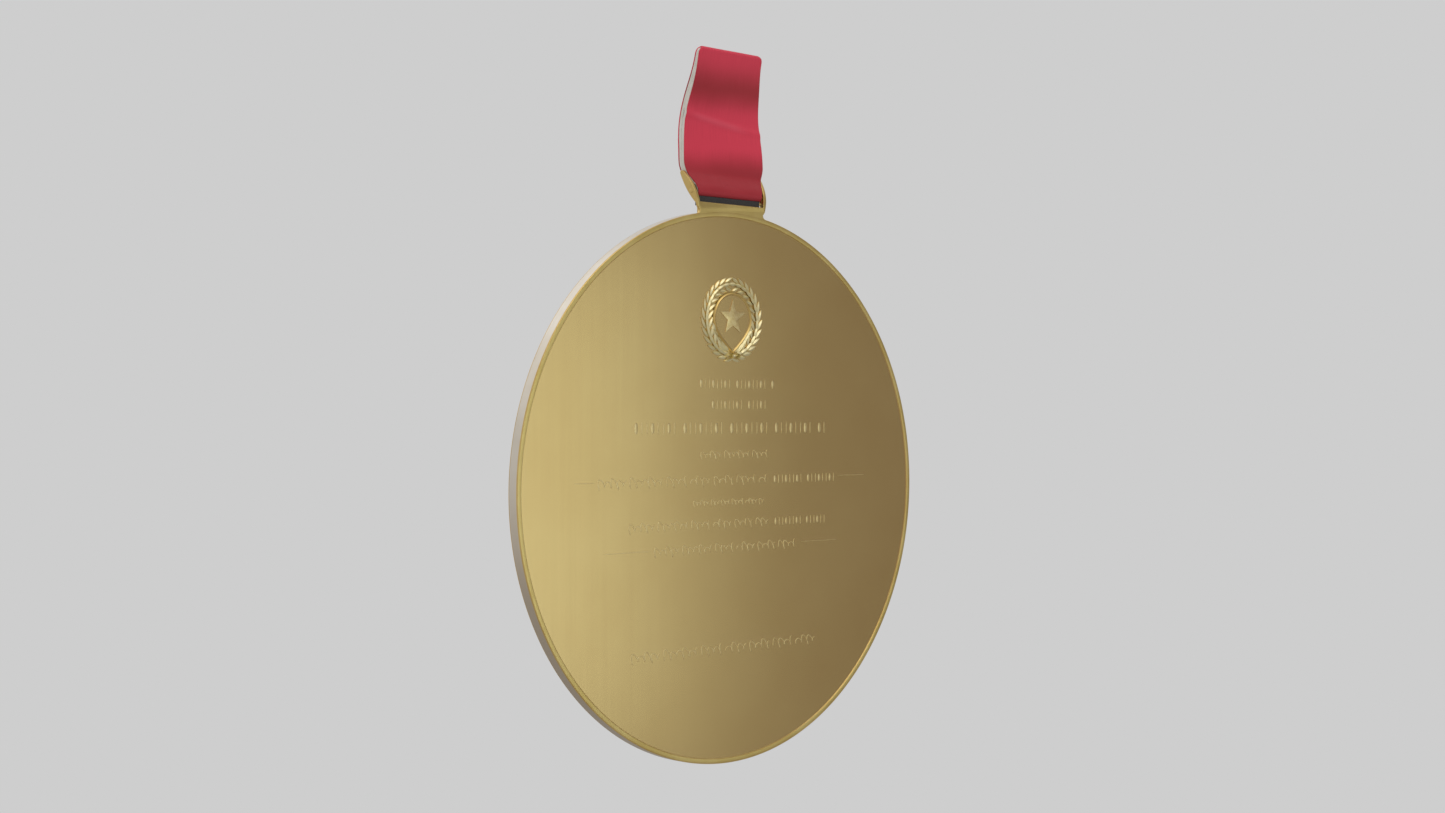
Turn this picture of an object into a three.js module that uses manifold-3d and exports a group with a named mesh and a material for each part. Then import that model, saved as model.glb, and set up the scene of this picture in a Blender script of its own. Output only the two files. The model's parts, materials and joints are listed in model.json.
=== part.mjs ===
// A hanging presentation medal. A thin laminated disc (two gold-tone plates on a nickel core)
// carries an applied laurel badge and, at its top, a bracket with two ears and a cross bar.
// A lined satin ribbon loop passes under the bar, and the whole medal swings on it.
//
// Millimetres. +X is to the reader's right, the engraved face looks along -Y, +Z is up.
// The origin is the inside top of the ribbon loop, where a hook or pin carries it.
import * as THREE from "three";
import { mergeVertices } from "three/addons/utils/BufferGeometryUtils.js";
import Module from "manifold-3d";

const wasm = await Module();
wasm.setup();

// ---------- Driving dimensions ----------
const HOOK_HEIGHT = 63; // from the disc's centre up to the inside top of the ribbon loop

const DISC_RADIUS = 40;
const DISC_SEGMENTS = 96;
const CORE_RADIUS = 39.875;
const CORE_HALF = 0.5625; // half the core's thickness
const FIELD_Y = 0.8125; // from the middle plane to either field
const RIM_Y = 0.9375; // from the middle plane to the crest of either rim
const RIM_WIDTH = 0.875;
const RIM_ROUND = 0.25; // the rim's rounding at its outer edge

const RIM_LEDGE = 0.125; // the sloping step from the field up to the rim

const BAR_HEIGHT = 42.75; // the ribbon bar's axis above the disc's centre
const BAR_RADIUS = 0.3125;
const BAR_HOLE_RADIUS = 0.4375;
const BAR_HEAD_RADIUS = 0.625;
const BAR_HEAD_LENGTH = 0.25;
const BAR_CLEARANCE = 0.0625; // beside each ear, and between the bar and the ribbon's fold

const NECK_HALF = 6.9; // half the bracket neck's width under the ears
const NECK_FOOT_HALF = 6.5; // half its width where it meets the fillets
const NECK_BACK = -0.5; // back face of the neck
const NECK_FILLET = 0.6;
const LIP_HEIGHT = 41.125; // top of the neck, which is the lower lip of the ribbon slot
const SEAT_GAP = 0.125; // between the disc's edge and the neck that stands on it
const EAR_THICKNESS = 0.5625;
const EAR_FLARE = 0.22; // how far an ear leans outwards for each unit of height
const EAR_FOOT = LIP_HEIGHT - 0.625;
const EAR_TIP_Y = 1.35; // the ear leans back, and ends in a round tip
const EAR_TIP_HEIGHT = 45.25;
const EAR_TIP_RADIUS = 0.4;
const TANG_HALF = 5.5;
const TANG_FOOT = 32.5;
const TANG_THICKNESS = 0.5;
const POCKET_GAP = 0.25; // around the tang in the core
const POCKET_FLOOR = 0.0625;
const TANG_TOP = LIP_HEIGHT - 0.5;
const BRIDGE_DEPTH = 0.25; // how far the tang's head runs into the neck
const LINER_FRONT = -0.4375;
const LINER_BACK = 0.4375;
const LINER_GAP = 0.1875; // between the liner's ends and the ears
const LINER_CLEARANCE = 0.375; // between the liner's groove and the ribbon's fold

const RIVET_X = 3.75;
const RIVET_Z = 35.5;
const RIVET_RADIUS = 0.75;
const RIVET_HOLE_RADIUS = 1;
const RIVET_HEAD_RADIUS = 1.5;
const RIVET_HEAD_Y = 0.875;

const SATIN_THICKNESS = 0.1875;
const LINING_THICKNESS = 0.125;
const PLY = SATIN_THICKNESS + LINING_THICKNESS;
const FOLD_RADIUS = BAR_RADIUS + BAR_CLEARANCE + PLY; // outside of the fold under the bar
const RIBBON_HALF = 7.5;
const FOLD_HALF = 6.4; // half the width of the fold, nipped in between the ears
const NIP_HEIGHT = 4.5; // the ribbon has its full width this far above the bar
const CORNER_NIP = 0.8; // what the top corners lose on each side
const CORNER_HEIGHT = 1.1;
const LOOP_TOP = HOOK_HEIGHT + PLY;
const LOOP_HALF = 0.72; // half the loop's thickness where it hangs open
const TOP_HALF = 0.4375; // half the loop's thickness at its crown, where it is almost closed
const CLOSING_HEIGHT = 52; // the loop starts to close here
const BOW_HEIGHT = 51; // the ribbon bows backwards most here
const BOW_DEPTH = 1.65;
const BOW_CURVE = 0.0145; // how fast the bow falls off with the square of the height
const SWING_HEIGHT = 2.85; // it swings back from the bar to the bow within this height
const PLY_STEPS = 14;
const TAIL_FOOT = 46.75; // the ribbon's end, lapped over the back ply and sewn down
const TAIL_TOP = 50.75;
const THREAD_RADIUS = 0.11;
const THREAD_GAP = 0.03;
const THREAD_INSET = 1; // from the ribbon's edge to the end of a row of thread
const THREAD_HEIGHTS = [47.5, 50];

const BADGE_HEIGHT = 24.375; // the badge's centre above the disc's centre
const BRANCH_INNER = 4.125;
const BRANCH_OUTER = 6.25;
const BRANCH_LEAVES = 9;
const BRANCH_RELIEF = 0.5;
const BRANCH_FOOT = -0.42 * Math.PI; // the branch's two ends, as angles about the badge's centre
const BRANCH_HEAD = 0.485 * Math.PI;
const LEAF_SCALLOP = 0.35;
const BRANCH_TAPER = 0.55;
const TIE_DROP = 5.25; // from the badge's centre down to the tie
const TIE_HALF = 1.05;
const TIE_WAIST = 0.3;
const TIE_RELIEF = 0.625;
const SHIELD_RADIUS = 3.75;
const SHIELD_POINT = 4.75; // from the badge's centre down to the shield's point
const SHIELD_RELIEF = 0.25;
const SHIELD_BULGE = 0.42; // how low the shield's sides stay full, as a share of the point's depth
const STAR_RADIUS = 2.625;
const STAR_NOTCH = 0.42; // the star's inner corners, as a share of its radius
const STAR_LIFT = 0.25; // the star's centre above the badge's centre
const STAR_RELIEF = 0.3125;
const POST_RADIUS = 0.5;
const POST_HOLE_RADIUS = 0.75;
const POST_END = CORE_HALF - 0.0625;
const POST_OFFSETS = { upper: 2.25, lower: -2.25 };

// ---------- Materials ----------
const metal = (color, roughness) => new THREE.MeshStandardMaterial({ color, roughness, metalness: 1 });
const cloth = (color, roughness) => new THREE.MeshStandardMaterial({ color, roughness, metalness: 0 });
const brushedGold = metal(0xa58f5a, 0.38);
const polishedGold = metal(0xb8a464, 0.22);
const reliefGold = metal(0xb9a56e, 0.3);
const nickel = metal(0xc8c0b6, 0.3);
const redSatin = cloth(0xb03040, 0.45);
const creamLining = cloth(0xbebbb2, 0.8);
const blackFelt = cloth(0x2a2727, 0.9);
const redThread = cloth(0x8c2a34, 0.7);

// ---------- Solids ----------
// Each map sends a flat outline's two coordinates and its extrusion to the part's axes.
const FACING_FRONT = new THREE.Matrix4().set(1, 0, 0, 0, 0, 0, -1, 0, 0, 1, 0, 0, 0, 0, 0, 1);
const FACING_SIDE = new THREE.Matrix4().set(0, 0, 1, 0, 1, 0, 0, 0, 0, 1, 0, 0, 0, 0, 0, 1);

function toSolid(geometry) {
  const bare = new THREE.BufferGeometry();
  bare.setAttribute("position", (geometry.index ? geometry.toNonIndexed() : geometry).attributes.position);
  const merged = mergeVertices(bare, 1e-4);
  const vertProperties = merged.attributes.position.array;
  const triVerts = new Uint32Array(merged.index.array);
  return new wasm.Manifold(new wasm.Mesh({ numProp: 3, vertProperties, triVerts }));
}

function toGeometry(solid) {
  const mesh = solid.getMesh();
  const geometry = new THREE.BufferGeometry();
  geometry.setAttribute("position", new THREE.BufferAttribute(mesh.vertProperties, 3));
  geometry.setIndex(new THREE.BufferAttribute(mesh.triVerts, 1));
  return geometry;
}

function cut(geometry, ...tools) {
  return toGeometry(tools.reduce((solid, tool) => solid.subtract(toSolid(tool)), toSolid(geometry)));
}

function join(geometry, ...others) {
  return toGeometry(others.reduce((solid, other) => solid.add(toSolid(other)), toSolid(geometry)));
}

// A plate whose outline is drawn in X and Z; it runs from back forwards by thickness.
function frontPlate(outline, back, thickness) {
  const shape = new THREE.Shape(outline);
  const geometry = new THREE.ExtrudeGeometry(shape, { depth: thickness, bevelEnabled: false });
  return geometry.applyMatrix4(FACING_FRONT).translate(0, back, 0);
}

// A bar whose section is drawn in Y and Z; it runs from left to right.
function sideBar(outline, left, right, hole) {
  const shape = new THREE.Shape(outline);
  if (hole) shape.holes.push(new THREE.Path(hole));
  const geometry = new THREE.ExtrudeGeometry(shape, { depth: right - left, bevelEnabled: false });
  return geometry.applyMatrix4(FACING_SIDE).translate(left, 0, 0);
}

// A solid turned about an axis along Y, from [radius, y] pairs in order of rising y.
function turned(pairs, segments) {
  const points = pairs.map(([radius, y]) => new THREE.Vector2(radius, y));
  return new THREE.LatheGeometry(points, segments);
}

function pinAlongY(radius, low, high, x, z, sides = 24) {
  return turned([[0, low], [radius, low], [radius, high], [0, high]], sides).translate(x, 0, z);
}

function block(x0, x1, y0, y1, z0, z1) {
  const geometry = new THREE.BoxGeometry(x1 - x0, y1 - y0, z1 - z0);
  return geometry.translate((x0 + x1) / 2, (y0 + y1) / 2, (z0 + z1) / 2);
}

function arc(cx, cy, radius, from, to, steps) {
  return Array.from({ length: steps + 1 }, (_, i) => {
    const angle = from + ((to - from) * i) / steps;
    return new THREE.Vector2(cx + radius * Math.cos(angle), cy + radius * Math.sin(angle));
  });
}

const mirrored = (points) => points.map((p) => new THREE.Vector2(-p.x, p.y)).reverse();

// ---------- Disc ----------
// One plate's section from its field out over the rim, for a plate that faces -Y.
function rimProfile() {
  const crest = -RIM_Y;
  const inner = DISC_RADIUS - RIM_WIDTH;
  const round = arc(DISC_RADIUS - RIM_ROUND, crest + RIM_ROUND, RIM_ROUND, -Math.PI / 2, 0, 3);
  return [
    [0, -FIELD_Y],
    [inner, -FIELD_Y],
    [inner + RIM_LEDGE, crest],
    ...round.map((p) => [p.x, p.y]),
    [DISC_RADIUS, -CORE_HALF],
    [0, -CORE_HALF],
  ];
}

function postHoles() {
  return Object.values(POST_OFFSETS).map((offset) =>
    pinAlongY(POST_HOLE_RADIUS, -2, 2, 0, BADGE_HEIGHT + offset)
  );
}

function rivetHoles(low) {
  return [-RIVET_X, RIVET_X].map((x) => pinAlongY(RIVET_HOLE_RADIUS, low, 2, x, RIVET_Z));
}

function obversePlate() {
  return cut(turned(rimProfile(), DISC_SEGMENTS), ...postHoles());
}

function reversePlate() {
  const pairs = rimProfile().map(([radius, y]) => [radius, -y]).reverse();
  return cut(turned(pairs, DISC_SEGMENTS), ...rivetHoles(-2));
}

function coreDisc() {
  const pairs = [[0, -CORE_HALF], [CORE_RADIUS, -CORE_HALF], [CORE_RADIUS, CORE_HALF], [0, CORE_HALF]];
  const half = TANG_HALF + POCKET_GAP;
  const pocket = block(-half, half, -2, POCKET_FLOOR, TANG_FOOT - POCKET_GAP, DISC_RADIUS + 2);
  return cut(turned(pairs, DISC_SEGMENTS), pocket, ...rivetHoles(-2), ...postHoles());
}

// ---------- Bracket ----------
// The neck seen from the front: it stands on the disc's edge with a small fillet at each side.
function neckOutline() {
  const seat = DISC_RADIUS + SEAT_GAP;
  const filletX = NECK_FOOT_HALF + NECK_FILLET;
  const filletZ = Math.sqrt((DISC_RADIUS + NECK_FILLET) ** 2 - filletX ** 2);
  const fillet = arc(filletX, filletZ, NECK_FILLET, -0.735 * Math.PI, -Math.PI, 4);
  const right = [...fillet, new THREE.Vector2(NECK_HALF, EAR_FOOT), new THREE.Vector2(NECK_HALF, LIP_HEIGHT)];
  const tip = Math.atan2(fillet[0].y, fillet[0].x);
  const seatArc = arc(0, 0, seat, Math.PI - tip, tip, 12).slice(1, -1);
  return [...seatArc, ...right, ...mirrored(right)];
}

// One ear in side view: it rises from the neck, leans back round the bar and ends in a round tip.
function earOutline() {
  const tip = arc(EAR_TIP_Y, EAR_TIP_HEIGHT, EAR_TIP_RADIUS, 0, 0.85 * Math.PI, 5);
  const backFoot = new THREE.Vector2(NECK_BACK, EAR_FOOT + 0.4);
  const backBend = new THREE.Vector2(1.15, BAR_HEIGHT - 0.1);
  const back = new THREE.QuadraticBezierCurve(backFoot, backBend, tip[0]);
  const frontFoot = new THREE.Vector2(-RIM_Y, LIP_HEIGHT + 0.175);
  const frontBend = new THREE.Vector2(-0.85, BAR_HEIGHT + 0.6);
  const front = new THREE.QuadraticBezierCurve(tip[tip.length - 1], frontBend, frontFoot);
  const foot = [new THREE.Vector2(-RIM_Y, EAR_FOOT), new THREE.Vector2(NECK_BACK, EAR_FOOT)];
  return [...foot, ...back.getPoints(6), ...tip.slice(1), ...front.getPoints(6).slice(1)];
}

function ear() {
  const geometry = sideBar(earOutline(), NECK_HALF - EAR_THICKNESS, NECK_HALF);
  const lean = new THREE.Matrix4().makeShear(0, 0, 0, 0, EAR_FLARE, 0);
  return geometry.translate(0, 0, -EAR_FOOT).applyMatrix4(lean).translate(0, 0, EAR_FOOT);
}

function suspensionBracket() {
  const neck = frontPlate(neckOutline(), NECK_BACK, RIM_Y + NECK_BACK);
  const tangBack = NECK_BACK + TANG_THICKNESS;
  const tang = block(-TANG_HALF, TANG_HALF, NECK_BACK, tangBack, TANG_FOOT, TANG_TOP);
  const bridgeFoot = DISC_RADIUS + 3 * SEAT_GAP;
  const bridge = block(-TANG_HALF, TANG_HALF, NECK_BACK - BRIDGE_DEPTH, tangBack, bridgeFoot, TANG_TOP);
  const right = ear();
  const left = new THREE.BufferGeometry();
  const flipped = toSolid(right).mirror([1, 0, 0]).getMesh();
  left.setAttribute("position", new THREE.BufferAttribute(flipped.vertProperties, 3));
  left.setIndex(new THREE.BufferAttribute(flipped.triVerts, 1));
  const whole = join(neck, tang, bridge, right, left);
  const barHole = pinAlongY(BAR_HOLE_RADIUS, -12, 12, 0, 0).rotateZ(Math.PI / 2).translate(0, 0, BAR_HEIGHT);
  return cut(whole, barHole, ...rivetHoles(-2));
}

// The bar with a low peened head outside each ear.
function ribbonBar() {
  const earFace = NECK_HALF + EAR_FLARE * (BAR_HEIGHT + BAR_HEAD_RADIUS - EAR_FOOT);
  const head = earFace + BAR_CLEARANCE;
  const end = head + BAR_HEAD_LENGTH;
  const rise = [[0, -end], [BAR_HEAD_RADIUS * 0.7, -end], [BAR_HEAD_RADIUS, -head], [BAR_RADIUS, -head]];
  const pairs = [...rise, ...rise.map(([radius, y]) => [radius, -y]).reverse()];
  return turned(pairs, 24).rotateZ(-Math.PI / 2).translate(0, 0, BAR_HEIGHT);
}

// A felt pad between the ears, hollowed along its top to clear the ribbon's fold.
function slotLiner() {
  const half = NECK_HALF - EAR_THICKNESS - LINER_GAP;
  const clear = FOLD_RADIUS + LINER_CLEARANCE;
  const from = Math.PI + Math.acos(-LINER_FRONT / clear);
  const to = 2 * Math.PI - Math.acos(LINER_BACK / clear);
  const groove = arc(0, BAR_HEIGHT, clear, from, to, 6).reverse();
  const foot = TANG_TOP + 0.0625;
  const base = [new THREE.Vector2(LINER_FRONT, foot), new THREE.Vector2(LINER_BACK, foot)];
  return sideBar([...base, ...groove], -half, half);
}

// A flush rivet: its shank runs from the tang's front to a low head on the reverse field.
function frameRivet(x) {
  const pairs = [
    [0, NECK_BACK],
    [RIVET_RADIUS, NECK_BACK],
    [RIVET_RADIUS, FIELD_Y],
    [RIVET_HEAD_RADIUS, FIELD_Y],
    [RIVET_HEAD_RADIUS - 0.0625, RIVET_HEAD_Y],
    [0, RIVET_HEAD_Y],
  ];
  return turned(pairs, 24).translate(x, 0, RIVET_Z);
}

// ---------- Ribbon ----------
const smooth = (t) => t * t * (3 - 2 * t);
const ramp = (z, from, to) => smooth(Math.min(1, Math.max(0, (z - from) / (to - from))));

// The loop's middle line: from the bar it swings back, bows, and leans forward at the top.
function loopMiddle(z) {
  const bow = BOW_DEPTH - BOW_CURVE * (z - BOW_HEIGHT) ** 2;
  return bow * ramp(z, BAR_HEIGHT, BAR_HEIGHT + SWING_HEIGHT);
}

// Half the loop's thickness: the fold's own radius at the bar, almost closed at the top.
function loopHalf(z) {
  const body = FOLD_RADIUS + (LOOP_HALF - FOLD_RADIUS) * ramp(z, BAR_HEIGHT, BAR_HEIGHT + SWING_HEIGHT);
  return body + (TOP_HALF - LOOP_HALF) * ramp(z, CLOSING_HEIGHT, LOOP_TOP - TOP_HALF);
}

// Half the ribbon's width: full width above the ears, nipped in at the fold, round top corners.
function ribbonHalf(z) {
  const nip = (RIBBON_HALF - FOLD_HALF) * (1 - ramp(z, BAR_HEIGHT - FOLD_RADIUS, BAR_HEIGHT + NIP_HEIGHT));
  const corner = Math.max(0, z - (LOOP_TOP - CORNER_HEIGHT)) / CORNER_HEIGHT;
  return RIBBON_HALF - nip - CORNER_NIP * corner ** 2;
}

function plyHeights() {
  const top = LOOP_TOP - TOP_HALF;
  return Array.from({ length: PLY_STEPS + 1 }, (_, i) => BAR_HEIGHT + ((top - BAR_HEIGHT) * i) / PLY_STEPS);
}

// The loop's outline in side view, sunk by inset below the outer face of the satin.
// With lapped, the sewn tail's extra layer is added on the back ply.
function loopOutline(inset, lapped = false) {
  const heights = plyHeights();
  const top = LOOP_TOP - TOP_HALF;
  const front = heights.map((z) => new THREE.Vector2(loopMiddle(z) - loopHalf(z) + inset, z));
  const crown = arc(loopMiddle(top), top, TOP_HALF - inset, Math.PI, 0, 8).slice(1, -1);
  const back = (z, extra) => new THREE.Vector2(loopMiddle(z) + loopHalf(z) - inset + extra, z);
  const plain = heights.map((z) => back(z, 0));
  const tail = [back(TAIL_FOOT, 0), back(TAIL_FOOT, SATIN_THICKNESS)];
  tail.push(back((TAIL_FOOT + TAIL_TOP) / 2, SATIN_THICKNESS));
  tail.push(back(TAIL_TOP, SATIN_THICKNESS), back(TAIL_TOP, 0));
  const below = plain.filter((p) => p.y < TAIL_FOOT);
  const above = plain.filter((p) => p.y > TAIL_TOP);
  const rear = lapped ? [...below, ...tail, ...above] : plain;
  const fold = arc(0, BAR_HEIGHT, FOLD_RADIUS - inset, 0, -Math.PI, 10).slice(1, -1);
  return [...front, ...crown, ...rear.reverse(), ...fold].reverse();
}

function ribbonLayer(outerInset, innerInset, lapped) {
  const geometry = sideBar(loopOutline(outerInset, lapped), -1, 1, loopOutline(innerInset));
  const position = geometry.attributes.position;
  for (let i = 0; i < position.count; i++) {
    position.setX(i, Math.sign(position.getX(i)) * ribbonHalf(position.getZ(i)));
  }
  return geometry;
}

// One row of sewing thread across the lapped tail.
function seamThread(z) {
  const y = loopMiddle(z) + loopHalf(z) + SATIN_THICKNESS + THREAD_RADIUS + THREAD_GAP;
  const half = RIBBON_HALF - THREAD_INSET;
  return sideBar(arc(y, z, THREAD_RADIUS, 0, 1.75 * Math.PI, 7), -half, half);
}

// ---------- Badge ----------
// A laurel branch: a curved band whose outer edge is scalloped by its leaves.
function branchOutline() {
  const steps = BRANCH_LEAVES * 4;
  const outer = Array.from({ length: steps + 1 }, (_, i) => {
    const t = i / steps;
    const leaf = LEAF_SCALLOP * Math.abs(Math.sin(Math.PI * BRANCH_LEAVES * t));
    const angle = BRANCH_FOOT + (BRANCH_HEAD - BRANCH_FOOT) * t;
    const radius = BRANCH_OUTER + leaf - BRANCH_TAPER * t ** 3;
    return new THREE.Vector2(radius * Math.cos(angle), BADGE_HEIGHT + radius * Math.sin(angle));
  });
  const inner = arc(0, BADGE_HEIGHT, BRANCH_INNER, BRANCH_HEAD - 0.01, BRANCH_FOOT, 14);
  return [...outer, ...inner];
}

function laurelBranch(side) {
  const outline = branchOutline();
  return frontPlate(side < 0 ? mirrored(outline) : outline, -FIELD_Y, BRANCH_RELIEF);
}

// The tie that holds the two stems: a small bow with a waist.
function laurelTie() {
  const z = BADGE_HEIGHT - TIE_DROP;
  const right = [
    new THREE.Vector2(TIE_WAIST, z - 0.45),
    new THREE.Vector2(TIE_HALF, z - 0.85),
    new THREE.Vector2(TIE_HALF, z + 0.55),
    new THREE.Vector2(TIE_WAIST, z + 0.3),
  ];
  return frontPlate([...right, ...mirrored(right)], -FIELD_Y, TIE_RELIEF);
}

// The shield: a half circle above and two gentle curves that meet in a point below.
function badgeShield() {
  const crown = arc(0, BADGE_HEIGHT, SHIELD_RADIUS, 0, Math.PI, 20);
  const point = new THREE.Vector2(0, BADGE_HEIGHT - SHIELD_POINT);
  const side = new THREE.QuadraticBezierCurve(
    new THREE.Vector2(-SHIELD_RADIUS, BADGE_HEIGHT),
    new THREE.Vector2(-SHIELD_RADIUS, BADGE_HEIGHT - SHIELD_BULGE * SHIELD_POINT),
    point
  );
  const left = side.getPoints(7).slice(1);
  return frontPlate([...crown, ...left, ...mirrored(left).slice(1)], -FIELD_Y, SHIELD_RELIEF);
}

function badgeStar() {
  const points = Array.from({ length: 10 }, (_, i) => {
    const radius = i % 2 ? STAR_RADIUS * STAR_NOTCH : STAR_RADIUS;
    const angle = Math.PI / 2 + (i * Math.PI) / 5;
    const z = BADGE_HEIGHT + STAR_LIFT + radius * Math.sin(angle);
    return new THREE.Vector2(radius * Math.cos(angle), z);
  });
  return frontPlate(points, -FIELD_Y - SHIELD_RELIEF, STAR_RELIEF);
}

function badgePost(offset) {
  return pinAlongY(POST_RADIUS, -FIELD_Y, POST_END, 0, BADGE_HEIGHT + offset);
}

// ---------- Assembly ----------
function piece(name, geometry, material) {
  const mesh = new THREE.Mesh(geometry, material);
  mesh.name = name;
  return mesh;
}

const disc = new THREE.Group();
disc.add(piece("obverse_plate", obversePlate(), brushedGold));
disc.add(piece("core_disc", coreDisc(), nickel));
disc.add(piece("reverse_plate", reversePlate(), brushedGold));

const bracket = new THREE.Group();
bracket.add(piece("suspension_bracket", suspensionBracket(), polishedGold));
bracket.add(piece("ribbon_bar", ribbonBar(), polishedGold));
bracket.add(piece("slot_liner", slotLiner(), blackFelt));
bracket.add(piece("bracket_rivet_left", frameRivet(-RIVET_X), polishedGold));
bracket.add(piece("bracket_rivet_right", frameRivet(RIVET_X), polishedGold));

const badge = new THREE.Group();
badge.add(piece("laurel_branch_left", laurelBranch(-1), reliefGold));
badge.add(piece("laurel_branch_right", laurelBranch(1), reliefGold));
badge.add(piece("laurel_tie", laurelTie(), reliefGold));
badge.add(piece("badge_shield", badgeShield(), reliefGold));
badge.add(piece("badge_star", badgeStar(), reliefGold));
for (const [place, offset] of Object.entries(POST_OFFSETS)) {
  badge.add(piece(`badge_post_${place}`, badgePost(offset), nickel));
}

const ribbon = new THREE.Group();
ribbon.add(piece("ribbon_satin", ribbonLayer(0, SATIN_THICKNESS, true), redSatin));
ribbon.add(piece("ribbon_lining", ribbonLayer(SATIN_THICKNESS, PLY, false), creamLining));
THREAD_HEIGHTS.forEach((z, i) => {
  ribbon.add(piece(`seam_thread_${i + 1}`, seamThread(z), redThread));
});

const medal = new THREE.Group();
medal.add(disc, bracket, badge, ribbon);
medal.position.z = -HOOK_HEIGHT;

export default medal;
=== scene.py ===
"""A two-tone medal on a ribbon loop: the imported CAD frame, dressed with fine meshes and materials.

Everything is in metres in the frame's own axes. The disc faces -Y, and Z is up.
"""
import json
import math

import bmesh
import bpy
from mathutils import Matrix, Vector, noise


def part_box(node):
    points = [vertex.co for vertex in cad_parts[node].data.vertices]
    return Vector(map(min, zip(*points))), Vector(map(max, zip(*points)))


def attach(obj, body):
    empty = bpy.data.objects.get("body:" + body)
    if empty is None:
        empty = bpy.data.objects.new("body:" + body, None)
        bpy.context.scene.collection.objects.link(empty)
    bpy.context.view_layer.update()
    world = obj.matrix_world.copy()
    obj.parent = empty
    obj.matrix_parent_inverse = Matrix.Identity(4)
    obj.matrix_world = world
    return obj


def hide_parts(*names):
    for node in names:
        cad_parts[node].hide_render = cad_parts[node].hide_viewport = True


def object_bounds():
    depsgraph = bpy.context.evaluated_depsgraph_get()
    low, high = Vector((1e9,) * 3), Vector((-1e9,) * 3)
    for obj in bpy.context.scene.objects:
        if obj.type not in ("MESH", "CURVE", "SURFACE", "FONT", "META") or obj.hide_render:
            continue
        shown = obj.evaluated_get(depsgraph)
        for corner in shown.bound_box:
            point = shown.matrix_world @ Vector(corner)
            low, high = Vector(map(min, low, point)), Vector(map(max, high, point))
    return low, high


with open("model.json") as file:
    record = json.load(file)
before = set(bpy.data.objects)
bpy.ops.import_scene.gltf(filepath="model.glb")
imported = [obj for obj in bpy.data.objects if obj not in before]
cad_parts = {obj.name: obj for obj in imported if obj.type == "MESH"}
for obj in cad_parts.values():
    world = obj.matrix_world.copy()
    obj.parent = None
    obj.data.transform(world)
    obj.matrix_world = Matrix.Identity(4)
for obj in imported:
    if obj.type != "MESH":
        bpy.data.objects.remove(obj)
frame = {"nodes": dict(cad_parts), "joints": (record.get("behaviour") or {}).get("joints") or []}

CAD_LOW, CAD_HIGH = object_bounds()
MM = 0.001
TAU = 2 * math.pi


# ---------- Places and sizes, most of them read from the frame ----------

PLATE_LOW, PLATE_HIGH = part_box("obverse_plate")
DISC_R = (PLATE_HIGH.x - PLATE_LOW.x) / 2
DISC_Z = (PLATE_HIGH.z + PLATE_LOW.z) / 2
RIM_Y = -PLATE_LOW.y
CORE_HALF = -PLATE_HIGH.y
FIELD_Y = -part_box("badge_shield")[1].y
CORE_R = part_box("core_disc")[1].x

BAR_Z = frame["joints"][0]["pos_m"][2]
LINER_LOW, LINER_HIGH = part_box("slot_liner")
LIP_RISE = 0.4375 * MM  # the slot's lower lip above the liner's underside
LIP_Z = LINER_LOW.z + LIP_RISE
LOOP_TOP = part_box("ribbon_satin")[1].z
RIBBON_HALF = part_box("ribbon_satin")[1].x
FOLD_R = BAR_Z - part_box("ribbon_satin")[0].z
RIVET_LOW, RIVET_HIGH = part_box("bracket_rivet_right")


def from_disc(height_mm):
    """The frame's Z of a place that many millimetres above the disc's centre."""
    return DISC_Z + height_mm * MM


BADGE_Z = from_disc(24.375)
BOW_Z = from_disc(51)
CREASE_Z = from_disc(53.0)  # a soft crease across the ribbon's front, which falls to the right
CREASE_FALL = 0.13


# ---------- Mesh building ----------

def face_outwards(mesh):
    """Turns a closed mesh's faces outwards."""
    work = bmesh.new()
    work.from_mesh(mesh)
    bmesh.ops.recalc_face_normals(work, faces=work.faces)
    if work.calc_volume(signed=True) < 0:
        bmesh.ops.reverse_faces(work, faces=work.faces)
    work.to_mesh(mesh)
    work.free()


def piece(name, verts, faces, material, body, slot, stands_for=(), sharp=35, uvs=None):
    """Makes one visible object from points and faces, shades it, and rides it on its body."""
    mesh = bpy.data.meshes.new(name)
    mesh.from_pydata([tuple(v) for v in verts], [], faces)
    mesh.validate()
    if uvs:
        layer = mesh.uv_layers.new(name="strip")
        for loop in mesh.loops:
            layer.data[loop.index].uv = uvs[loop.vertex_index]
    else:
        face_outwards(mesh)
    mesh.polygons.foreach_set("use_smooth", [True] * len(mesh.polygons))
    mesh.set_sharp_from_angle(angle=math.radians(sharp))
    mesh.materials.append(material)
    obj = bpy.data.objects.new(name, mesh)
    bpy.context.scene.collection.objects.link(obj)
    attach(obj, body)
    if stands_for:
        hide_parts(*stands_for)
    return obj


def merged(parts):
    """Several (verts, faces) lists as one."""
    verts, faces = [], []
    for more_verts, more_faces in parts:
        start = len(verts)
        verts.extend(more_verts)
        faces.extend([tuple(start + i for i in face) for face in more_faces])
    return verts, faces


def placed(part, matrix):
    """A (verts, faces) part moved by a matrix."""
    verts, faces = part
    return [matrix @ Vector(v) for v in verts], faces


def rings_to_faces(count, rings, closed=False):
    """Quads between rings of count points each; closed joins the last ring to the first."""
    faces = []
    for k in range(rings if closed else rings - 1):
        here, there = k * count, ((k + 1) % rings) * count
        for i in range(count):
            j = (i + 1) % count
            faces.append((here + i, here + j, there + j, there + i))
    return faces


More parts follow.
